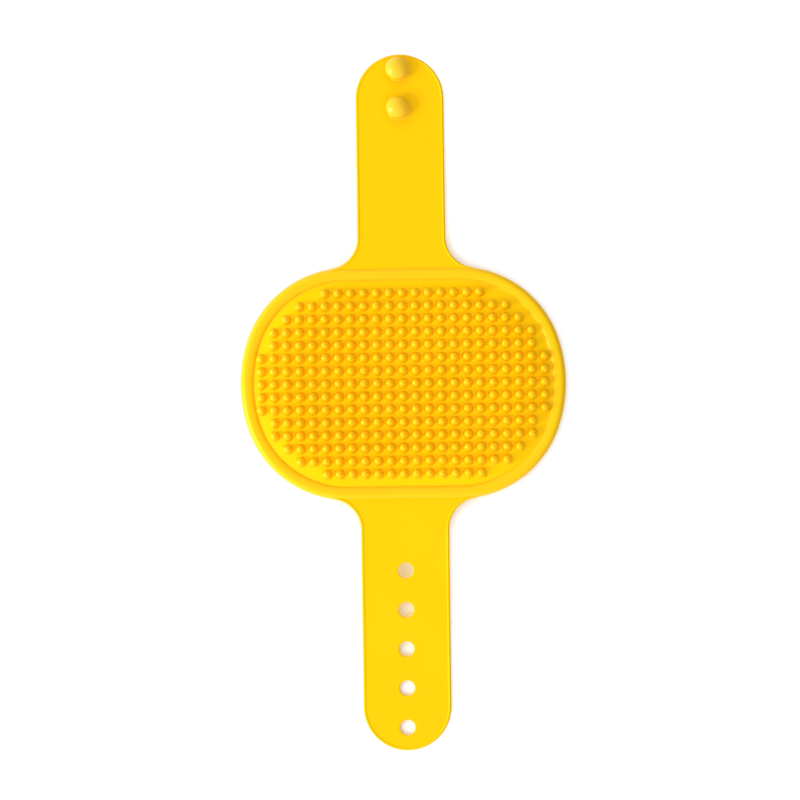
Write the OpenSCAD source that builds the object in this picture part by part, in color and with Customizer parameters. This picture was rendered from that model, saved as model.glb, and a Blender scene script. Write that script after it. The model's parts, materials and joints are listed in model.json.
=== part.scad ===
// Rubber curry brush: an oval bristle pad with two hand straps, one with studs and one with holes.
// Millimetres, +Z up. The brush lies on its palm side, bristles up, with the straps along Y.
// The origin is the centre of the whole brush's footprint, on the surface that it lies on.

/* [Pad outline] */
// Width of the pad, across the straps
pad_w = 127; // [122:0.5:132]
// Length of the pad, along the straps
pad_h = 90.6; // [86:0.2:94]
// Radius of the outline's two ends
end_r = 54.5; // [52:0.5:57]
// Radius of the outline's four corners
corner_r = 41; // [39:0.5:42]

/* [Rim and plate] */
// Width of the rounded rim, from the outer wall to the groove
rim_w = 5.2; // [4.4:0.1:6]
// Height of the rim's crest
rim_z = 7.2; // [6.8:0.1:8]
// Height of the groove inside the rim
groove_z = 6; // [5.6:0.1:6.4]
// Rise of the plate from the groove to its flat middle
crown = 2.25; // [1:0.05:3]
// Width of the sloping margin of the plate
margin = 15; // [10:1:18]
// Depth of the palm recess
recess = 4.6; // [4.2:0.1:4.8]

/* [Bristles] */
// Distance between bristles, both ways
pitch = 5; // [4.8:0.1:5.2]
// Number of rows
rows = 15; // [15:1:15]
// Height of a bristle above the plate
bristle_h = 3.4; // [3:0.1:6]
// Radius of a bristle at its root
bristle_root_r = 1.8; // [1.5:0.05:1.9]
// Radius of a bristle's round tip
bristle_tip_r = 1.5; // [1:0.05:1.5]
// Radius of the bristle field's round ends
field_r = 38; // [36:0.5:39]
// Distance of the centres of the field's round ends from the middle
field_x = 18.5; // [17:0.5:19]

/* [Straps] */
// Width of a strap
strap_w = 34.4; // [33:0.1:36]
// Thickness of a strap
strap_t = 2.2; // [2:0.1:2.4]
// Height of a strap's middle plane where it leaves the pad
strap_z = 5.1; // [4.8:0.1:5.2]
// Radius of the fillets where a strap leaves the pad
root_fillet = 12; // [9:0.5:13]
// Length of the stud strap, from the pad's edge to its tip
stud_strap_l = 83.6; // [83:0.1:86]
// Length of the hole strap, from the pad's edge to its tip
hole_strap_l = 98.4; // [97.5:0.1:100]

/* [Fastening] */
// Distance between holes, and between studs
hole_pitch = 15.45; // [15.3:0.05:15.6]
// Number of holes
holes = 5; // [5:1:5]
// Distance of the first hole from the pad's edge
hole_start = 27.65; // [27.2:0.05:28]
// Radius of a hole
hole_r = 3.05; // [2.9:0.05:3.2]
// Distance of the outer stud from the strap's tip
stud_end = 5.9; // [5.4:0.1:6.2]
// Radius of a stud's stem
stud_r = 2.5; // [2.2:0.05:2.6]
// Height of a stud's stem
stud_h = 2.85; // [2.8:0.05:3.2]
// Radius of a stud's head
head_r = 4.4; // [3.8:0.1:4.6]
// Height of the straight side of a stud's head
head_side = 1.1; // [0.8:0.1:1.5]
// Radius of the round top of a stud's head
head_dome = 6; // [5:0.1:7]
// Radius of the thin disc at a stud's foot
foot_r = 4.6; // [4.4:0.1:5]
// Thickness of the disc at a stud's foot
foot_t = 0.35; // [0.2:0.05:0.4]

/* [Hinge lines] */
// Running clearance in a hinge line
hinge_gap = 0.05; // [0.03:0.01:0.1]
// Largest bend towards the palm at a hinge line that is cleared
bend_in = 46; // [40:1:50]
// Largest bend towards the bristles at a hinge line that is cleared
bend_out = 20; // [18:1:24]

/* [Hidden] */

// Rubber colours: the body of the brush, and the slightly deeper yellow between the bristles
yellow = [1.0, 0.83, 0.02];
deep_yellow = [0.98, 0.76, 0.02];

// Small overshoot that makes a cut pass clean through
cut = 1;
// How far bristles and strap roots are sunk into what they grow from
sunk = 0.8;
root_sunk = 2;

// Centres of the outline's end arcs and corner arcs, and the angle where they meet
end_x = pad_w / 2 - end_r;
corner_y = pad_h / 2 - corner_r;
corner_x = end_x + sqrt(pow(end_r - corner_r, 2) - pow(corner_y, 2));
meet = atan2(corner_y, corner_x - end_x);
edge = pad_h / 2;

// Points of one arc of the outline, set in by d
end_steps = 6;
corner_steps = 12;
function arc_points(c, r, from, to, steps, first, last) =
    [for (i = [first:last]) let (a = from + (to - from) * i / steps) c + r * [cos(a), sin(a)]];
function end_arc(side, d) =
    let (mid = side > 0 ? 0 : 180)
    arc_points([side * end_x, 0], end_r - d, mid - meet, mid + meet, end_steps, 1, end_steps - 1);
function corner_arc(sx, sy, d, from, to) =
    arc_points([sx * corner_x, sy * corner_y], corner_r - d, from, to, corner_steps, 0, corner_steps);
// The whole outline, set in by d, anticlockwise
function outline(d) = concat(
    end_arc(1, d),
    corner_arc(1, 1, d, meet, 90),
    corner_arc(-1, 1, d, 90, 180 - meet),
    end_arc(-1, d),
    corner_arc(-1, -1, d, 180 + meet, 270),
    corner_arc(1, -1, d, 270, 360 - meet));

// Distance of a point of the pad from the outline
function inset(x, y) =
    let (v = [abs(x) - corner_x, abs(y) - corner_y])
    v[0] <= 0 ? edge - abs(y)
    : v[1] > 0 && atan2(v[1], v[0]) >= meet ? corner_r - norm(v)
    : end_r - norm([abs(x) - end_x, y]);
// Height of the plate's top at a distance d from the outline
function plate_top(d) =
    let (u = min(1, max(0, (d - rim_w) / margin)))
    groove_z + crown * (1 - pow(1 - u, 2));

// Walls between rings of points, one ring for each [inset, height] of a profile
function ring_points(profile) =
    [for (p = profile) for (q = outline(p[0])) [q[0], q[1], p[1]]];
function ring_walls(m, n, closed) =
    [for (i = [0:(closed ? m - 1 : m - 2)]) for (k = [0:n - 1])
        let (a = i * n, b = ((i + 1) % m) * n, l = (k + 1) % n)
        [a + k, b + k, b + l, a + l]];

// Profile of the rim as [inset, height]: flat foot, outer wall, rounded crest, groove, inner wall
crest_d = 2.4;
wall_z = 4.4;
foot_in = 4.3;
bead_steps = 5;
function rim_profile() = concat(
    [[foot_in, 0], [1, 0], [0.3, 0.3], [0, 1]],
    [for (i = [0:bead_steps]) let (a = 90 * i / bead_steps)
        [crest_d * (1 - cos(a)), wall_z + (rim_z - wall_z) * sin(a)]],
    [for (i = [1:bead_steps]) let (a = 90 * i / bead_steps)
        [crest_d + (rim_w - crest_d) * sin(a), groove_z + (rim_z - groove_z) * cos(a)]],
    [[rim_w, recess], [rim_w - 0.1, 0.8], [rim_w - 0.4, 0.2]]);

module rim() {
    profile = rim_profile();
    color(yellow)
        polyhedron(ring_points(profile), ring_walls(len(profile), len(outline(0)), true), 10);
}

// Profile of the plate: underside edge, groove, then the sloping margin up to the flat middle
dome_steps = 6;
function plate_profile() = concat(
    [[rim_w, recess]],
    [for (i = [0:dome_steps]) let (d = rim_w + margin * i / dome_steps) [d, plate_top(d)]]);

module pad_plate() {
    profile = plate_profile();
    m = len(profile);
    n = len(outline(0));
    under = [for (k = [0:n - 1]) k];
    middle = [for (k = [n - 1:-1:0]) (m - 1) * n + k];
    color(deep_yellow)
        polyhedron(ring_points(profile), concat([under], [middle], ring_walls(m, n, false)), 10);
}

// One bristle, standing on z = 0, with its root sunk below
module bristle() {
    shaft = bristle_h - bristle_tip_r;
    translate([0, 0, -sunk])
        cylinder(h = shaft + sunk, r1 = bristle_root_r, r2 = bristle_tip_r, $fn = 24);
    translate([0, 0, shaft])
        sphere(r = bristle_tip_r, $fn = 24);
}

// Row i of the field, counted from the hole strap's side
module bristle_row(i) {
    y = (i - (rows + 1) / 2) * pitch;
    reach = floor((field_x + sqrt(pow(field_r, 2) - pow(y, 2))) / pitch);
    color(yellow)
        for (k = [-reach:reach])
            translate([k * pitch, y, plate_top(inset(k * pitch, y))])
                bristle();
}

// Stations of the hinge lines, from the pad's edge: close together at the root, then one a pitch,
// midway between holes and between studs
stud_outer = stud_strap_l - stud_end;
stud_inner = stud_outer - hole_pitch;
stud_lines = concat([2, 7.5, 15, 24], [for (i = [2:-1:0]) stud_outer - hole_pitch * (i + 0.5)]);
hole_lines = concat([2, 7.5, 13.5], [for (i = [0:holes - 1]) hole_start + hole_pitch * (i - 0.5)]);

// A strap runs down from its first hinge line to a touch-down line, and lies flat beyond it
drop = strap_z - strap_t / 2;
stud_touch = stud_lines[5];
hole_touch = hole_lines[6];
function slope(lines, touch) = asin(drop / (touch - lines[0]));
function slope_at(s, lines, touch) = s < lines[0] || s >= touch ? 0 : slope(lines, touch);
function reach_at(s, lines, touch) =
    edge + min(s, lines[0])
    + max(0, min(s, touch) - lines[0]) * cos(slope(lines, touch))
    + max(0, s - touch);
function height_at(s, lines, touch) =
    strap_z - max(0, min(s, touch) - lines[0]) * sin(slope(lines, touch));

// The pad's centre lies off the footprint's centre, because the hole strap is the longer one
pad_y = (reach_at(hole_strap_l, hole_lines, hole_touch)
    - reach_at(stud_strap_l, stud_lines, stud_touch)) / 2;

// Turns the hole strap to the side of -Y
module on_pad(turn = 0) {
    translate([0, pad_y, 0])
        rotate([0, 0, turn])
            children();
}

// Local frame of a strap at station s: +Y towards the tip, z = 0 in the middle plane
module at_station(s, lines, touch) {
    translate([0, reach_at(s, lines, touch), height_at(s, lines, touch)])
        rotate([-slope_at(s, lines, touch), 0, 0])
            children();
}

// Plan of a whole strap: straight sides, a half-round tip, and root fillets tangent to the pad's corners
module strap_plan(length) {
    half = strap_w / 2;
    wide = half + root_fillet;
    centres = corner_r + root_fillet;
    flare = corner_y + sqrt(pow(centres, 2) - pow(wide - corner_x, 2)) - edge;
    tangent_x = corner_x + (wide - corner_x) * corner_r / centres;
    translate([-half, -root_sunk])
        square([strap_w, length - half + root_sunk]);
    translate([0, length - half])
        circle(r = half, $fn = 96);
    difference() {
        translate([-tangent_x, -root_sunk])
            square([2 * tangent_x, flare + root_sunk]);
        for (side = [-1, 1])
            translate([side * wide, flare])
                circle(r = root_fillet, $fn = 96);
    }
}

// A rod across the strap, for hinge lines
module across(r) {
    rotate([0, 90, 0])
        cylinder(h = 2 * strap_w, r = r, center = true, $fn = 32);
}

// A wedge across the strap, from the hinge line out past one face: side 1 is the bristles' side
module relief(side, angle) {
    reach = strap_t;
    rotate([90, 0, 90])
        linear_extrude(height = 2 * strap_w, center = true)
            polygon([[0, 0], [-cut, 0], [-cut, side * reach], [reach * tan(angle), side * reach]]);
}

// A stretch of strap from station a to station b, with a half-round end in the next stretch's socket
module strap_link(a, b, length, socket, round_end) {
    intersection() {
        translate([0, -a, -strap_t])
            linear_extrude(height = 2 * strap_t)
                strap_plan(length);
        difference() {
            union() {
                translate([-strap_w, 0, -strap_t / 2])
                    cube([2 * strap_w, b - a, strap_t]);
                if (round_end)
                    translate([0, b - a, 0])
                        across(strap_t / 2);
            }
            if (socket) {
                across(strap_t / 2 + hinge_gap);
                relief(-1, bend_in);
                relief(1, bend_out);
            }
        }
    }
}

module strap_root(lines, length, turn) {
    color(yellow)
        on_pad(turn)
            translate([0, edge - root_sunk, strap_z])
                strap_link(-root_sunk, lines[0], length, false, true);
}

module stud_strap(i) {
    ends = concat(stud_lines, [stud_strap_l]);
    last = i == len(stud_lines);
    color(yellow)
        on_pad()
            at_station(ends[i - 1], stud_lines, stud_touch)
                strap_link(ends[i - 1], ends[i], stud_strap_l, true, !last);
}

// Number of the strap links before the first one that has a hole
plain_links = 3;

module hole_strap(i) {
    ends = concat(hole_lines, [hole_strap_l]);
    last = i == len(hole_lines);
    color(yellow)
        on_pad(180)
            at_station(ends[i - 1], hole_lines, hole_touch)
                difference() {
                    strap_link(ends[i - 1], ends[i], hole_strap_l, true, !last);
                    if (i > plain_links)
                        translate([0, hole_pitch / 2, 0])
                            cylinder(h = 2 * strap_t, r = hole_r, center = true, $fn = 48);
                }
}

// Profile of a stud as [radius, height]: thin foot, stem, underside and side of the head, then its dome
dome_rings = 8;
function stud_profile() =
    let (side_top = stud_h + head_side, spread = asin(head_r / head_dome))
    concat(
        [[0, 0], [foot_r, 0], [foot_r, foot_t], [stud_r, foot_t], [stud_r, stud_h], [head_r, stud_h]],
        [for (i = [0:dome_rings]) let (a = spread * (1 - i / dome_rings))
            [head_dome * sin(a), side_top + head_dome * (cos(a) - cos(spread))]]);

// A stud at station s of the stud strap
module stud(s) {
    color(yellow)
        on_pad()
            at_station(s, stud_lines, stud_touch)
                translate([0, 0, strap_t / 2])
                    rotate_extrude($fn = 48)
                        polygon(stud_profile());
}

on_pad() pad_plate();
on_pad() rim();
strap_root(stud_lines, stud_strap_l, 0);  // stud_strap_root
strap_root(hole_lines, hole_strap_l, 180);  // hole_strap_root
on_pad() bristle_row(1);  // bristle_row_01
on_pad() bristle_row(2);  // bristle_row_02
on_pad() bristle_row(3);  // bristle_row_03
on_pad() bristle_row(4);  // bristle_row_04
on_pad() bristle_row(5);  // bristle_row_05
on_pad() bristle_row(6);  // bristle_row_06
on_pad() bristle_row(7);  // bristle_row_07
on_pad() bristle_row(8);  // bristle_row_08
on_pad() bristle_row(9);  // bristle_row_09
on_pad() bristle_row(10);  // bristle_row_10
on_pad() bristle_row(11);  // bristle_row_11
on_pad() bristle_row(12);  // bristle_row_12
on_pad() bristle_row(13);  // bristle_row_13
on_pad() bristle_row(14);  // bristle_row_14
on_pad() bristle_row(15);  // bristle_row_15
stud_strap(1);  // stud_strap_1
stud_strap(2);  // stud_strap_2
stud_strap(3);  // stud_strap_3
stud_strap(4);  // stud_strap_4
stud_strap(5);  // stud_strap_5
stud_strap(6);  // stud_strap_6
stud_strap(7);  // stud_strap_7
stud(stud_inner);  // inner_stud
stud(stud_outer);  // outer_stud
hole_strap(1);  // hole_strap_1
hole_strap(2);  // hole_strap_2
hole_strap(3);  // hole_strap_3
hole_strap(4);  // hole_strap_4
hole_strap(5);  // hole_strap_5
hole_strap(6);  // hole_strap_6
hole_strap(7);  // hole_strap_7
hole_strap(8);  // hole_strap_8
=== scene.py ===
import json
import math
import random

import bpy
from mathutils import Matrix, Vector


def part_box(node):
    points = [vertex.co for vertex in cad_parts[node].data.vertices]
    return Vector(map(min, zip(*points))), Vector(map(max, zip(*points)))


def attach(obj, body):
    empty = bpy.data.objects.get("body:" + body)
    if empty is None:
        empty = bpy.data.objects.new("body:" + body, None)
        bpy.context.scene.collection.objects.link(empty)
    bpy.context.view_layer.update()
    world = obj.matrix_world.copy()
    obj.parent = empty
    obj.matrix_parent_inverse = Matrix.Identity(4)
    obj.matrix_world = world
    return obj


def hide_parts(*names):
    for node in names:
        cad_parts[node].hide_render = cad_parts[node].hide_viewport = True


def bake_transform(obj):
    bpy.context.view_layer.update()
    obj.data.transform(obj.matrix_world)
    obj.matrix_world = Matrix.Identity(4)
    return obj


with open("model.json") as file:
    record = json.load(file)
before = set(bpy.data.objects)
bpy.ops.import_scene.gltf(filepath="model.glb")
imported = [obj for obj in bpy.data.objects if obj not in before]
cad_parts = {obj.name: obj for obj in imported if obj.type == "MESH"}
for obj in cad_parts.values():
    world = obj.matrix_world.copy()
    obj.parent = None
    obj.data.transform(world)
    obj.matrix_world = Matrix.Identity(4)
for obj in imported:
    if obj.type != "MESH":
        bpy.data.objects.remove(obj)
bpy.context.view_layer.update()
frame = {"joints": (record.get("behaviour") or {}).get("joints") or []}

MM = 0.001

# Sizes repeated from the CAD source, in millimetres
PAD_W, PAD_H = 127.0, 90.6
END_R, CORNER_R = 54.5, 41.0
RIM_W, RIM_Z = 5.2, 7.2
GROOVE_Z, CROWN, MARGIN = 6.0, 2.25, 15.0
RECESS = 4.6
PITCH, ROWS = 5.0, 15
BRISTLE_H, ROOT_R, TIP_R = 3.4, 1.8, 1.5
FIELD_R, FIELD_X = 38.0, 18.5
STRAP_W, STRAP_T, STRAP_Z = 34.4, 2.2, 5.1
FILLET_R = 12.0
STUD_STRAP, HOLE_STRAP = 83.6, 98.4
HOLE_PITCH, HOLE_START, HOLE_R = 15.45, 27.65, 3.05
STUD_OUTER, STUD_INNER = 77.7, 62.25

EDGE = PAD_H / 2
HALF_W = STRAP_W / 2
HALF_T = STRAP_T / 2
rim_lo, rim_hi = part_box("rim")
PAD_Y = (rim_lo.y + rim_hi.y) / 2 / MM


# ---------------------------------------------------------------- helpers

def smooth(t):
    t = min(1.0, max(0.0, t))
    return t * t * (3 - 2 * t)


def add_mesh(name, points, faces, sharp_angle=40):
    """A mesh from points in millimetres, shaded smooth except over sharp edges."""
    mesh = bpy.data.meshes.new(name)
    mesh.from_pydata([(x * MM, y * MM, z * MM) for x, y, z in points], [], faces)
    mesh.validate()
    mesh.update()
    mesh.polygons.foreach_set("use_smooth", [True] * len(mesh.polygons))
    mesh.set_sharp_from_angle(angle=math.radians(sharp_angle))
    obj = bpy.data.objects.new(name, mesh)
    bpy.context.scene.collection.objects.link(obj)
    return obj


def bands(first, n, m, closed=False):
    """Quads between m rings of n points each, numbered from first."""
    faces = []
    for i in range(m if closed else m - 1):
        a, b = first + i * n, first + (i + 1) % m * n
        for k in range(n):
            l = (k + 1) % n
            faces.append((a + k, a + l, b + l, b + k))
    return faces


def turned(first, sides, rings):
    """Faces of a round solid: its rings, the point on top that comes after them, and its flat underside."""
    last = first + (rings - 1) * sides
    apex = last + sides
    faces = bands(first, sides, rings)
    faces += [(last + k, last + (k + 1) % sides, apex) for k in range(sides)]
    faces.append(tuple(range(first + sides - 1, first - 1, -1)))
    return faces


def on_pad(x, y, z):
    return (x, y + PAD_Y, z)


# ---------------------------------------------------------------- materials

def rubber(name, colour, deep, roughness, gloss, tint=0.14, glow=0.0, grain=1.0):
    """Moulded rubber: uneven pigment, a satin skin with fine grain, soft orange peel and faint rub marks."""
    mat = bpy.data.materials.new(name)
    mat.use_nodes = True
    nt = mat.node_tree
    nodes, links = nt.nodes, nt.links
    bsdf = nodes["Principled BSDF"]
    coord = nodes.new("ShaderNodeTexCoord")

    def noise(scale, detail, rough=0.5, distortion=0.0):
        n = nodes.new("ShaderNodeTexNoise")
        n.inputs["Scale"].default_value = scale
        n.inputs["Detail"].default_value = detail
        n.inputs["Roughness"].default_value = rough
        n.inputs["Distortion"].default_value = distortion
        links.new(coord.outputs["Object"], n.inputs["Vector"])
        return n

    def remap(source, lo, hi, a, b):
        m = nodes.new("ShaderNodeMapRange")
        m.inputs["From Min"].default_value = lo
        m.inputs["From Max"].default_value = hi
        m.inputs["To Min"].default_value = a
        m.inputs["To Max"].default_value = b
        links.new(source, m.inputs["Value"])
        return m.outputs["Result"]

    cloud = noise(38.0, 3.0)
    speck = noise(1400.0, 2.0)
    mix = nodes.new("ShaderNodeMix")
    mix.data_type = "RGBA"
    mix.inputs["A"].default_value = (*deep, 1)
    mix.inputs["B"].default_value = (*colour, 1)
    both = nodes.new("ShaderNodeMath")
    both.operation = "ADD"
    links.new(remap(cloud.outputs["Fac"], 0.3, 0.7, 0.15, 0.85), both.inputs[0])
    links.new(remap(speck.outputs["Fac"], 0.3, 0.7, -0.1, 0.1), both.inputs[1])
    links.new(both.outputs["Value"], mix.inputs["Factor"])
    links.new(mix.outputs["Result"], bsdf.inputs["Base Color"])

    rub = noise(260.0, 4.0, 0.6, 0.8)
    rubbed = remap(rub.outputs["Fac"], 0.3, 0.7, roughness - 0.05, roughness + 0.06)
    links.new(rubbed, bsdf.inputs["Roughness"])

    fine = noise(2600.0, 3.0)
    peel = noise(330.0, 2.0)
    bump_peel = nodes.new("ShaderNodeBump")
    bump_peel.inputs["Strength"].default_value = 0.35
    bump_peel.inputs["Distance"].default_value = 0.00006 * grain
    links.new(peel.outputs["Fac"], bump_peel.inputs["Height"])
    bump = nodes.new("ShaderNodeBump")
    bump.inputs["Strength"].default_value = 0.5
    bump.inputs["Distance"].default_value = 0.00002 * grain
    links.new(fine.outputs["Fac"], bump.inputs["Height"])
    links.new(bump_peel.outputs["Normal"], bump.inputs["Normal"])
    links.new(bump.outputs["Normal"], bsdf.inputs["Normal"])

    bsdf.inputs["IOR"].default_value = 1.5
    bsdf.inputs["Specular IOR Level"].default_value = gloss
    bsdf.inputs["Specular Tint"].default_value = (1.0, 0.93, tint, 1)
    bsdf.inputs["Subsurface Weight"].default_value = glow
    bsdf.inputs["Subsurface Scale"].default_value = 0.0025
    bsdf.inputs["Subsurface Radius"].default_value = (1.0, 0.6, 0.05)
    return mat


YELLOW = (0.88, 0.51, 0.0015)
YELLOW_DEEP = (0.87, 0.49, 0.001)
# The plate and the bristles are the same rubber as the straps. The plate's colour is lighter, and the
# bristles' a little redder, to stand in for light that the shade among the bristles takes away: painted fill
# light, not a different rubber.
plate_rubber = rubber("plate_rubber", (0.95, 0.565, 0.0015), (0.94, 0.545, 0.001), 0.46, 0.2)
rim_rubber = rubber("rim_rubber", YELLOW, YELLOW_DEEP, 0.3, 0.7, 0.2)
bristle_rubber = rubber("bristle_rubber", (0.92, 0.51, 0.0015), (0.91, 0.49, 0.001), 0.27, 0.9, 0.2, 0.4, 0.6)
strap_rubber = rubber("strap_rubber", YELLOW, YELLOW_DEEP, 0.44, 0.3)
stud_rubber = rubber("stud_rubber", YELLOW, YELLOW_DEEP, 0.27, 1.0, 0.45, 0.0, 0.7)


def place(obj, material, nodes, body=None):
    """Material, slot and the CAD nodes a piece stands for, and the body it rides on, if any."""
    obj.data.materials.append(material)
    if body:
        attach(obj, body)
    else:
        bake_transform(obj)
    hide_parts(*nodes)


# ---------------------------------------------------------------- pad

END_X = PAD_W / 2 - END_R
CORNER_Y = PAD_H / 2 - CORNER_R
CORNER_X = END_X + math.sqrt((END_R - CORNER_R) ** 2 - CORNER_Y ** 2)
MEET = math.atan2(CORNER_Y, CORNER_X - END_X)


def outline(d, end_steps=18, corner_steps=36, side_steps=28):
    """The pad's outline set in by d, anticlockwise, with the same number of points at every d."""
    pts = []

    def arc(cx, cy, r, a, b, steps):
        for i in range(steps):
            t = a + (b - a) * i / steps
            pts.append((cx + r * math.cos(t), cy + r * math.sin(t)))

    def side(y, x0, x1):
        for i in range(side_steps):
            pts.append((x0 + (x1 - x0) * i / side_steps, y))

    arc(END_X, 0, END_R - d, -MEET, MEET, end_steps)
    arc(CORNER_X, CORNER_Y, CORNER_R - d, MEET, math.pi / 2, corner_steps)
    side(EDGE - d, CORNER_X, -CORNER_X)
    arc(-CORNER_X, CORNER_Y, CORNER_R - d, math.pi / 2, math.pi - MEET, corner_steps)
    arc(-END_X, 0, END_R - d, math.pi - MEET, math.pi + MEET, end_steps)
    arc(-CORNER_X, -CORNER_Y, CORNER_R - d, math.pi + MEET, 1.5 * math.pi, corner_steps)
    side(-EDGE + d, -CORNER_X, CORNER_X)
    arc(CORNER_X, -CORNER_Y, CORNER_R - d, 1.5 * math.pi, 2 * math.pi - MEET, corner_steps)
    return pts


def inset(x, y):
    """Distance of a point of the pad from its outline."""
    vx, vy = abs(x) - CORNER_X, abs(y) - CORNER_Y
    if vx <= 0:
        return EDGE - abs(y)
    if vy > 0 and math.atan2(vy, vx) >= MEET:
        return CORNER_R - math.hypot(vx, vy)
    return END_R - math.hypot(abs(x) - END_X, y)


def plate_top(d):
    u = min(1.0, max(-0.1, (d - RIM_W) / MARGIN))
    return GROOVE_Z + CROWN * (1 - (1 - u) ** 2)


def loft(name, profile, closed):
    """A surface through copies of the outline, one for each (inset, height) of the profile."""
    points = []
    rings = [outline(d) for d, z in profile]
    n, m = len(rings[0]), len(profile)
    for ring, (d, z) in zip(rings, profile):
        points += [on_pad(x, y, z) for x, y in ring]
    faces = bands(0, n, m, closed)
    if not closed:
        faces.append(tuple(range(n - 1, -1, -1)))
        faces.append(tuple((m - 1) * n + k for k in range(n)))
    return add_mesh(name, points, faces)


def curve(p0, p1, p2, p3, steps):
    """Points of a Bezier curve, without its first."""
    out = []
    for i in range(1, steps + 1):
        t = i / steps
        w = ((1 - t) ** 3, 3 * t * (1 - t) ** 2, 3 * t * t * (1 - t), t ** 3)
        out.append(tuple(sum(c * p[k] for c, p in zip(w, (p0, p1, p2, p3))) for k in (0, 1)))
    return out


CREST_D, WALL_Z = 2.4, 4.4
slope_in = 2 * CROWN / MARGIN
top_end = (5.75, plate_top(5.75) - 0.01)
crest_end = math.radians(68)
bead_end = (CREST_D + (RIM_W - CREST_D) * math.sin(crest_end),
            GROOVE_Z + (RIM_Z - GROOVE_Z) * math.cos(crest_end))

# Foot, outer wall with the mould's parting line, bead, groove, then the inner wall under the plate
rim_profile = [(4.2, 0.0), (3.4, 0.0), (2.2, 0.0), (1.25, 0.0)]
rim_profile += curve((1.25, 0.0), (0.7, 0.0), (0.0, 0.45), (0.0, 1.1), 7)
rim_profile += [(0.0, 2.0), (0.0, 2.78), (-0.05, 2.86), (-0.07, 2.92), (-0.05, 2.98), (0.0, 3.06), (0.0, 3.7)]
rim_profile += [(CREST_D * (1 - math.cos(a)), WALL_Z + (RIM_Z - WALL_Z) * math.sin(a))
                for a in [math.radians(90 * i / 14) for i in range(15)]]
rim_profile += [(CREST_D + (RIM_W - CREST_D) * math.sin(a), GROOVE_Z + (RIM_Z - GROOVE_Z) * math.cos(a))
                for a in [crest_end * i / 10 for i in range(1, 11)]]
rim_profile += curve(bead_end, (bead_end[0] + 0.12, bead_end[1] - 0.28),
                     (5.4, top_end[1] - slope_in * 0.35), top_end, 8)
rim_profile += [(5.9, 5.4), (5.6, 4.9), (RIM_W + 0.05, 4.0), (RIM_W - 0.02, 3.0), (RIM_W - 0.08, 1.4)]
rim_profile += curve((RIM_W - 0.08, 1.4), (RIM_W - 0.12, 0.5), (4.9, 0.0), (4.2, 0.0), 6)[:-1]
rim = loft("rim_bead", rim_profile, True)
place(rim, rim_rubber, ["rim"], body="pad")

# Palm side ceiling with its fillet, then up inside the rim to the crowned top
plate_profile = [(24.0, RECESS), (12.0, RECESS), (8.0, RECESS)]
plate_profile += [(6.9, RECESS)]
plate_profile += curve((6.9, RECESS), (5.9, RECESS), (5.17, 3.9), (5.13, 2.9), 8)
plate_profile += [(4.7, 2.9), (4.7, 5.6), (5.2, plate_top(5.2) - 0.05)]
plate_profile += [(5.2 + i * 0.75, plate_top(5.2 + i * 0.75)) for i in range(1, 21)]
plate_profile += [(22.0, plate_top(22.0))]
plate = loft("plate_skin", plate_profile, False)
place(plate, plate_rubber, ["pad_plate"], body="pad")


# ---------------------------------------------------------------- bristles

# The bristles lean a little, as they came out of the mould
LEAN_X, LEAN_Y = -0.11, 0.06


def bristle_points(rng):
    """Profile of one bristle, as (radius, height above the plate), from its hidden root up to its tip."""
    h = BRISTLE_H + rng.uniform(-0.08, 0.08)
    tip = TIP_R + rng.uniform(-0.02, 0.03)
    shaft = h - tip
    profile = [(ROOT_R + 0.42, -0.6), (ROOT_R + 0.40, 0.0), (ROOT_R + 0.22, 0.12), (ROOT_R + 0.09, 0.3),
               (ROOT_R + 0.01, 0.6), (ROOT_R - 0.06, 1.1), ((ROOT_R + tip) / 2, shaft * 0.55),
               (tip + 0.02, shaft * 0.92)]
    dome = [math.radians(v) for v in (8, 22, 36, 50, 64, 78)]
    profile += [(tip * math.cos(a), shaft + tip * math.sin(a)) for a in dome]
    return profile, h


def bristle_row(i):
    rng = random.Random(100 + i)
    y = (i - (ROWS + 1) / 2) * PITCH
    reach = int((FIELD_X + math.sqrt(FIELD_R ** 2 - y ** 2)) // PITCH)
    points, faces = [], []
    sides = 22
    for k in range(-reach, reach + 1):
        x = k * PITCH
        base = plate_top(inset(x, y))
        profile, h = bristle_points(rng)
        lean_x, lean_y = LEAN_X + rng.uniform(-0.012, 0.012), LEAN_Y + rng.uniform(-0.012, 0.012)
        first = len(points)
        for r, z in profile:
            for s in range(sides):
                t = 2 * math.pi * s / sides
                rx, ry = x + r * math.cos(t), y + r * math.sin(t)
                points.append(on_pad(rx + lean_x * z, ry + lean_y * z, base + z))
        points.append(on_pad(x + lean_x * h, y + lean_y * h, base + h))
        faces += turned(first, sides, len(profile))
    return add_mesh(f"bristles_{i:02d}", points, faces, 50)


for i in range(1, ROWS + 1):
    place(bristle_row(i), bristle_rubber, [f"bristle_row_{i:02d}"], body="pad")


# ---------------------------------------------------------------- straps

# Plan of the fillet where a strap leaves the rim: its centre's station and the angle where it meets the rim
FILLET_X = HALF_W + FILLET_R
FILLET_S = CORNER_Y + math.sqrt((CORNER_R + FILLET_R) ** 2 - (FILLET_X - CORNER_X) ** 2) - EDGE
FILLET_END = math.acos((FILLET_X - CORNER_X) / (CORNER_R + FILLET_R))

CORE = 4.6          # half width of the middle strip that carries the holes
CORE_STEPS = 12
TIP_CLEAR = 4.05    # from the middle strip's end to the strap's tip
EDGE_R = 0.55       # rounding of a strap's edges
LIP_H = 0.3         # faint raised lip that the mould leaves along a strap's edge
EDGE_INSETS = [0, 0.03, 0.12, 0.26, 0.42, 0.62, 0.78, 0.94, 1.1, 1.25, 1.6]
HOLE_INSETS = [0, 0.03, 0.1, 0.2, 0.32, 0.7]
INNER_STEPS = 7
ROW_GAP = 0.75      # longest step between rows of points along a strap


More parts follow.
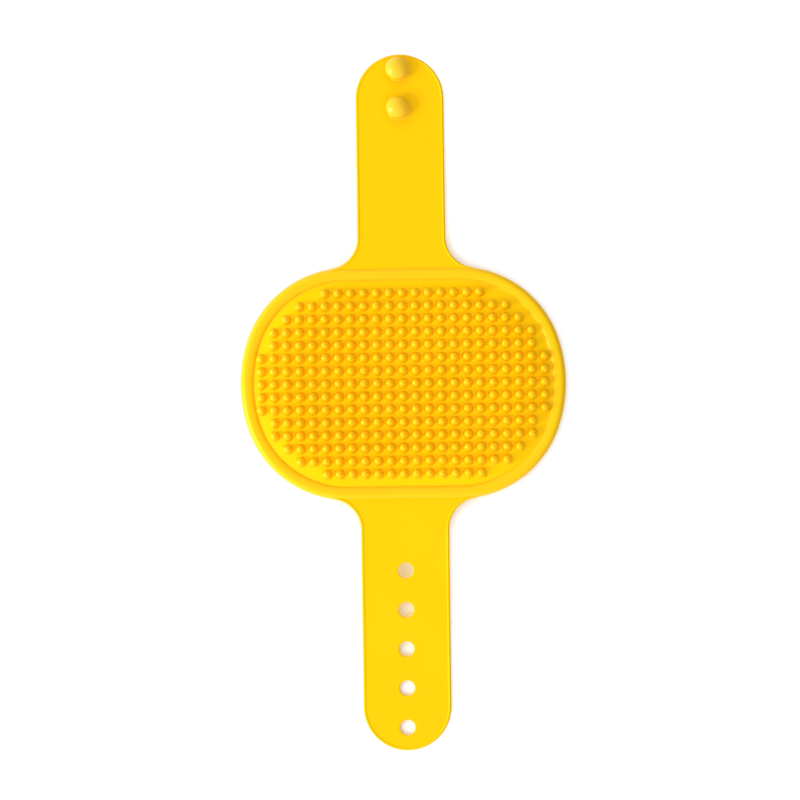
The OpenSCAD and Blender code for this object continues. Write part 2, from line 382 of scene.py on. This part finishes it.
def skin(d, r):
    """Height of a strap's face above its middle plane, at a distance d from an edge rounded to radius r."""
    return HALF_T if d >= r else HALF_T - r + math.sqrt(r * r - (r - d) ** 2)


def lip(d):
    return LIP_H * smooth(d / 0.62) * smooth((1.25 - d) / 0.6)


class Strap:
    """One strap: its course from the rim down to the surface, and its mesh as one grid of quads."""

    def __init__(self, name, sign, length, joints, touch, holes):
        self.name, self.sign, self.length, self.holes = name, sign, length, holes
        self.line, self.touch = joints[0], joints[touch]
        self.joints = joints
        self.slope = math.asin((STRAP_Z - HALF_T) / (self.touch - self.line))

    def run(self, s, centre, half):
        """Integral of a smooth step from 0 to 1 over centre - half to centre + half."""
        u = (s - centre + half) / (2 * half)
        if u <= 0:
            return 0.0
        return s - centre if u >= 1 else 2 * half * (u ** 3 - u ** 4 / 2)

    def course(self, s):
        """(distance from the pad's centre, height, downward angle) of the middle plane at station s."""
        down = self.run(s, self.line, 1.9) - self.run(s, self.touch, 8.0)
        share = smooth((s - self.line + 1.9) / 3.8) - smooth((s - self.touch + 8.0) / 16.0)
        reach = EDGE + s - (1 - math.cos(self.slope)) * down
        return reach, STRAP_Z - math.sin(self.slope) * down, self.slope * share

    def at(self, x, s, h):
        """Point across x, at station s, h above the middle plane, in the row frame in millimetres."""
        reach, z, a = self.course(s)
        return (self.sign * x, PAD_Y + self.sign * (reach + h * math.sin(a)), z + h * math.cos(a))

    def build(self, seams, zones, nodes):
        tip = self.length - HALF_W
        core_top = self.length - TIP_CLEAR
        fillet_rows = 19
        rows = [-2.6]
        angles = [FILLET_END * (1 - i / fillet_rows) for i in range(fillet_rows + 1)]
        rows += [FILLET_S - FILLET_R * math.sin(a) for a in angles]
        seams = [min(rows, key=lambda r: abs(r - s)) if s < FILLET_S else s for s in seams]
        patches = [(c - CORE, c + CORE) for c in self.holes]
        straight = [s for s in seams if s > FILLET_S + 0.01 and s not in self.holes]
        marks = {round(v, 4) for v in [FILLET_S, tip, core_top, *straight]}
        marks |= {round(v, 4) for p in patches for v in p}
        marks = sorted(marks)
        patch_starts = {}
        for a, b in zip(marks, marks[1:]):
            hole = [c for c, p in zip(self.holes, patches) if abs(p[0] - a) < 1e-3]
            inside = [p for p in patches if p[0] - 1e-3 < a and b < p[1] + 1e-3]
            whole = hole and inside and abs(inside[0][1] - b) < 1e-3
            steps = CORE_STEPS if whole else max(1, math.ceil((b - a) / ROW_GAP))
            if hole:
                patch_starts[len(rows) - 1] = (hole[0], steps)
            rows += [a + (b - a) * i / steps for i in range(1, steps + 1)]
        n_rows = len(rows)

        plan, dist, quads = [], [], []      # (x, s), (inset, edge radius, lip share), faces

        def vertex(x, s, d=9.0, r=EDGE_R, with_lip=True):
            plan.append((x, s))
            dist.append((d, r, with_lip))
            return len(plan) - 1

        core = [[None] * (CORE_STEPS + 1) for _ in rows]
        skip_rows = set()
        for start, (c, steps) in patch_starts.items():
            skip_rows |= set(range(start, start + steps))
        for i, s in enumerate(rows):
            hidden = i in skip_rows and (i - 1) in skip_rows
            for j in range(CORE_STEPS + 1):
                if hidden and 0 < j < CORE_STEPS:
                    continue
                core[i][j] = vertex(-CORE + 2 * CORE * j / CORE_STEPS, s)
        for i in range(n_rows - 1):
            if i in skip_rows:
                continue
            for j in range(CORE_STEPS):
                quads.append((core[i][j], core[i][j + 1], core[i + 1][j + 1], core[i + 1][j]))

        # Holes: rings from the square patch in to the circle
        for start, (c, steps) in patch_starts.items():
            end = start + steps
            ring = [core[start][j] for j in range(CORE_STEPS)]
            ring += [core[i][CORE_STEPS] for i in range(start, end)]
            ring += [core[end][j] for j in range(CORE_STEPS, 0, -1)]
            ring += [core[i][0] for i in range(end, start, -1)]
            count = len(ring)
            outer = HOLE_R + HOLE_INSETS[-1]
            shapes = []
            for t in (0.4, 0.75):
                loop = []
                for k in range(count):
                    a = math.radians(-135 + 360 * k / count)
                    bx, bs = plan[ring[k]]
                    cx, cs = outer * math.cos(a), c + outer * math.sin(a)
                    loop.append(vertex(bx + (cx - bx) * t, bs + (cs - bs) * t))
                shapes.append(loop)
            for d in reversed(HOLE_INSETS):
                loop = []
                for k in range(count):
                    a = math.radians(-135 + 360 * k / count)
                    r = HOLE_R + d
                    loop.append(vertex(r * math.cos(a), c + r * math.sin(a), d, 0.3, False))
                shapes.append(loop)
            previous = ring
            for loop in shapes:
                for k in range(count):
                    l = (k + 1) % count
                    quads.append((previous[k], previous[l], loop[l], loop[k]))
                previous = loop

        # Loops round the middle strip, from its border out to the strap's edge
        tip_row = min(range(n_rows), key=lambda i: abs(rows[i] - tip))
        corner = math.atan2(core_top - tip, CORE)
        spine = []
        for side in (1, -1):
            part = []
            for i, s in enumerate(rows):
                j = CORE_STEPS if side > 0 else 0
                if i == 0:
                    edge, inward = (side * (FILLET_X - 0.3), s), (-side, 0)
                elif i <= fillet_rows + 1:
                    a = angles[i - 1]
                    inward = (-side * math.cos(a), -math.sin(a))
                    edge = (side * FILLET_X + FILLET_R * inward[0], FILLET_S + FILLET_R * inward[1])
                elif i <= tip_row:
                    edge, inward = (side * HALF_W, s), (-side, 0)
                else:
                    a = corner * (i - tip_row) / (n_rows - 1 - tip_row)
                    inward = (-side * math.cos(a), -math.sin(a))
                    edge = (-HALF_W * inward[0], tip - HALF_W * inward[1])
                part.append((core[i][j], edge, inward))
            spine += part if side > 0 else [None] + part[::-1]
        top = []
        for j in range(CORE_STEPS - 1, 0, -1):
            a = corner + (math.pi - 2 * corner) * (CORE_STEPS - j) / CORE_STEPS
            inward = (-math.cos(a), -math.sin(a))
            top.append((core[-1][j], (-HALF_W * inward[0], tip - HALF_W * inward[1]), inward))
        gap = spine.index(None)
        spine = spine[:gap] + top + spine[gap + 1:]
        loops = []
        for inner, edge, inward in spine:
            line = [vertex(edge[0] + inward[0] * d, edge[1] + inward[1] * d, d) for d in EDGE_INSETS]
            (ix, is_), (ex, es) = plan[inner], plan[line[-1]]
            for k in range(1, INNER_STEPS):
                t = k / INNER_STEPS
                line.append(vertex(ex + (ix - ex) * t, es + (is_ - es) * t))
            line.append(inner)
            loops.append(line)
        for a, b in zip(loops, loops[1:]):
            for k in range(len(a) - 1):
                quads.append((a[k], b[k], b[k + 1], a[k + 1]))

        # Which piece a face belongs to: by its row's station, from the middle strip's side
        row_of = {}
        for i in range(n_rows):
            for v in core[i]:
                if v is not None:
                    row_of[v] = rows[i]
        for (inner, _, _), line in zip(spine, loops):
            for v in line:
                row_of[v] = row_of[inner]

        def station(q):
            return sum(row_of.get(v, plan[v][1]) for v in q) / len(q)

        cuts = [-99.0, *seams, 999.0]
        pieces = []
        for k in range(len(cuts) - 1):
            own = [q for q in quads if cuts[k] < station(q) <= cuts[k + 1]]
            pieces.append(self.solid(f"{self.name}_{k + 1}", plan, dist, own))
        for k, obj in enumerate(pieces):
            _, z, a = self.course(self.joints[k])
            start = self.at(0, self.joints[k] - zones[k], 0)
            end = self.at(0, self.joints[k] + zones[k], 0)
            place(obj, strap_rubber, nodes[k])
        return pieces

    def solid(self, name, plan, dist, quads):
        """The piece's two faces, joined by walls round its borders."""
        used = sorted({v for q in quads for v in q})
        index = {v: i for i, v in enumerate(used)}
        n = len(used)
        points = []
        for v in used:
            (x, s), (d, r, with_lip) = plan[v], dist[v]
            points.append(self.at(x, s, skin(d, r) + (lip(d) if with_lip else 0)))
        for v in used:
            (x, s), (d, r, _) = plan[v], dist[v]
            points.append(self.at(x, s, -skin(d, r)))
        faces = []
        borders = {}
        for q in quads:
            f = [index[v] for v in q]
            (x0, s0), (x1, s1), (x2, s2) = [plan[v] for v in q[:3]]
            turn = (x1 - x0) * (s2 - s1) - (s1 - s0) * (x2 - x1)
            if turn < 0:
                f.reverse()
            faces.append(tuple(f))
            faces.append(tuple(v + n for v in reversed(f)))
            for a, b in zip(f, f[1:] + f[:1]):
                if (b, a) in borders:
                    del borders[(b, a)]
                else:
                    borders[(a, b)] = True
        for a, b in borders:
            faces.append((b, a, a + n, b + n))
        return add_mesh(name, points, faces, 50)


def stations(kind):
    """Stations of a strap's hinge lines, measured along it from the pad's edge."""
    found = [j for j in frame["joints"] if j["name"].startswith(kind)]
    pos = [Vector(j["pos_m"]) / MM for j in found]
    start = Vector((0, PAD_Y + math.copysign(EDGE, pos[0].y - PAD_Y), STRAP_Z))
    out, last, s = [], start, 0.0
    for p in pos:
        s += (p - last).length
        out.append(s)
        last = p
    return out


stud_lines = stations("stud_flex")
hole_lines = stations("hole_flex")
hole_centres = [HOLE_START + HOLE_PITCH * i for i in range(5)]

stud_strap = Strap("stud_strap_skin", 1, STUD_STRAP, stud_lines, 5, [])
stud_strap.build(
    seams=[5.0, 11.0, 19.0, 30.0, 47.0, 57.4],
    zones=[2.2, 2.4, 3.6, 4.6, 7.0, 2.8, 2.9],
    nodes=[["stud_strap_root", "stud_strap_1"]] + [[f"stud_strap_{i}"] for i in range(2, 8)])

hole_strap = Strap("hole_strap_skin", -1, HOLE_STRAP, hole_lines, 6, hole_centres)
hole_strap.build(
    seams=[5.0, 10.5, 16.6] + hole_centres[:4],
    zones=[2.2, 2.4, 2.8, 3.2, 7.7, 7.7, 7.7, 4.4],
    nodes=[["hole_strap_root", "hole_strap_1"]] + [[f"hole_strap_{i}"] for i in range(2, 9)])


# ---------------------------------------------------------------- studs

def stud(name, s, body, node, lean, tilt):
    """A mushroom stud: thin foot, filleted stem and domed head, on the stud strap at station s."""
    profile = [(4.65, -0.35), (4.6, 0.02)]
    profile += curve((4.6, 0.02), (4.55, 0.16), (4.3, 0.2), (3.8, 0.22), 5)
    profile += curve((3.8, 0.22), (3.1, 0.26), (2.3, 0.35), (2.05, 1.0), 6)
    profile += [(1.98, 1.7)]
    profile += curve((1.98, 1.7), (1.98, 2.75), (2.0, 2.86), (3.5, 2.87), 6)
    profile += curve((3.5, 2.87), (4.1, 2.89), (4.45, 2.95), (4.45, 3.2), 6)
    profile += curve((4.45, 3.2), (4.35, 4.45), (2.3, 5.85), (0.12, 5.95), 16)
    sides = 56
    shift = -0.4
    points = []
    for r, h in profile:
        for k in range(sides):
            a = 2 * math.pi * k / sides
            up = max(0.0, h)
            x, y = shift + r * math.cos(a), s + r * math.sin(a)
            points.append(stud_strap.at(x - lean * up, y + tilt * up, HALF_T + h))
    points.append(stud_strap.at(shift - lean * 5.96, s + tilt * 5.96, HALF_T + 5.96))
    obj = add_mesh(name, points, turned(0, sides, len(profile)), 50)
    place(obj, stud_rubber, [node], body=body)


stud("inner_stud_skin", STUD_INNER, "stud_link_6", "inner_stud", 0.16, 0.06)
stud("outer_stud_skin", STUD_OUTER, "stud_link_7", "outer_stud", 0.16, -0.06)


# ---------------------------------------------------------------- floor, light and camera

def ramp(tree, source, kind, from_min, from_max, to_min, to_max):
    node = tree.nodes.new("ShaderNodeMapRange")
    node.interpolation_type = kind
    sockets = {"From Min": from_min, "From Max": from_max, "To Min": to_min, "To Max": to_max}
    for socket, value in sockets.items():
        node.inputs[socket].default_value = value
    tree.links.new(source, node.inputs["Value"])
    return node.outputs["Result"]


def product(tree, *factors):
    result = factors[0]
    for factor in factors[1:]:
        node = tree.nodes.new("ShaderNodeMath")
        node.operation = "MULTIPLY"
        tree.links.new(result, node.inputs[0])
        tree.links.new(factor, node.inputs[1])
        result = node.outputs["Value"]
    return result


def floor_paper():
    """White paper that shows only where the brush shades it, and is clear to the white surround elsewhere.

    The palm side, and the straps when they bend below the floor, stay in view and in the light."""
    mat = bpy.data.materials.new("floor_paper")
    mat.use_nodes = True
    tree = mat.node_tree
    paper = tree.nodes["Principled BSDF"]
    paper.inputs["Base Color"].default_value = (0.86, 0.86, 0.86, 1)
    paper.inputs["Roughness"].default_value = 0.9
    paper.inputs["Specular IOR Level"].default_value = 0.1
    shade = tree.nodes.new("ShaderNodeAmbientOcclusion")
    shade.samples = 12
    shade.inputs["Distance"].default_value = 0.012
    beside = ramp(tree, shade.outputs["AO"], "SMOOTHSTEP", 0.36, 0.96, 1, 0)
    not_under = ramp(tree, shade.outputs["AO"], "SMOOTHSTEP", 0.03, 0.2, 0, 1)
    below = tree.nodes.new("ShaderNodeAmbientOcclusion")
    below.inside = True
    below.samples = 12
    below.inputs["Distance"].default_value = 0.12
    not_over = ramp(tree, below.outputs["AO"], "SMOOTHSTEP", 0.86, 0.995, 0, 1)
    path = tree.nodes.new("ShaderNodeLightPath")
    clear = tree.nodes.new("ShaderNodeBsdfTransparent")
    mix = tree.nodes.new("ShaderNodeMixShader")
    shown = product(tree, beside, not_under, not_over, path.outputs["Is Camera Ray"])
    tree.links.new(shown, mix.inputs["Fac"])
    tree.links.new(clear.outputs["BSDF"], mix.inputs[1])
    tree.links.new(paper.outputs["BSDF"], mix.inputs[2])
    tree.links.new(mix.outputs["Shader"], tree.nodes["Material Output"].inputs["Surface"])
    return mat


floor_mesh = bpy.data.meshes.new("floor")
FLOOR_Z = -0.1 * MM     # a little down, so that the foot of the rim shows through it from below
floor_corners = [(x, y, FLOOR_Z) for x, y in ((-2, -2), (2, -2), (2, 2), (-2, 2))]
floor_mesh.from_pydata(floor_corners, [], [(0, 1, 2, 3)])
floor = bpy.data.objects.new("floor", floor_mesh)
bpy.context.scene.collection.objects.link(floor)
floor_mesh.materials.append(floor_paper())

world = bpy.data.worlds.new("studio")
bpy.context.scene.world = world
world.use_nodes = True
# Light tent: bright walls, more so on the key light's side, and a darker opening overhead for the camera
KEY_AZIMUTH = 198
sky = world.node_tree
sky_coord = sky.nodes.new("ShaderNodeTexCoord")
sky_split = sky.nodes.new("ShaderNodeSeparateXYZ")
sky.links.new(sky_coord.outputs["Generated"], sky_split.inputs["Vector"])
overhead = ramp(sky, sky_split.outputs["Z"], "SMOOTHSTEP", 0.9, 0.98, 1.14, 0.8)
towards_key = sky.nodes.new("ShaderNodeVectorMath")
towards_key.operation = "DOT_PRODUCT"
sky.links.new(sky_coord.outputs["Generated"], towards_key.inputs[0])
key_turn = math.radians(KEY_AZIMUTH)
towards_key.inputs[1].default_value = (math.cos(key_turn), math.sin(key_turn), 0)
lit_side = ramp(sky, towards_key.outputs["Value"], "LINEAR", -1, 1, 0.78, 1.38)
dark_side = ramp(sky, towards_key.outputs["Value"], "SMOOTHSTEP", -0.95, -0.1, 0.45, 1)
# The tent lights the brush unevenly, but shows as an even white behind it
seen = sky.nodes.new("ShaderNodeMix")
seen.inputs["B"].default_value = 1.23
sky.links.new(sky.nodes.new("ShaderNodeLightPath").outputs["Is Camera Ray"], seen.inputs["Factor"])
sky.links.new(product(sky, overhead, lit_side, dark_side), seen.inputs["A"])
sky.links.new(seen.outputs["Result"], sky.nodes["Background"].inputs["Strength"])
sky.nodes["Background"].inputs["Color"].default_value = (1, 1, 1, 1)


def area_light(name, azimuth, elevation, distance, size, power):
    """A square area light aimed at the brush. Azimuth runs from +X towards +Y."""
    a, e = math.radians(azimuth), math.radians(elevation)
    direction = Vector((math.cos(a) * math.cos(e), math.sin(a) * math.cos(e), math.sin(e)))
    light = bpy.data.lights.new(name, "AREA")
    light.shape = "DISK"
    light.size = size
    light.energy = power
    obj = bpy.data.objects.new(name, light)
    bpy.context.scene.collection.objects.link(obj)
    obj.location = direction * distance
    obj.rotation_euler = (-direction).to_track_quat("-Z", "Y").to_euler()
    return obj


area_light("key", KEY_AZIMUTH, 34, 1.6, 0.65, 12.0)

camera_data = bpy.data.cameras.new("camera")
camera = bpy.data.objects.new("camera", camera_data)
bpy.context.scene.collection.objects.link(camera)
bpy.context.scene.camera = camera
# Straight above, a little off the pad's centre and turned a little
CAMERA_X, CAMERA_Y, CAMERA_Z = -0.0013, PAD_Y * MM - 0.00643, 0.8
CAMERA_TURN, CAMERA_LENS = -0.77, 91.8
camera_data.sensor_width = 36
camera_data.lens = CAMERA_LENS
camera.location = (CAMERA_X, CAMERA_Y, CAMERA_Z)
camera.rotation_euler = (0, 0, math.radians(CAMERA_TURN))
camera_data.clip_start = 0.01

bpy.context.scene.view_settings.view_transform = "Standard"
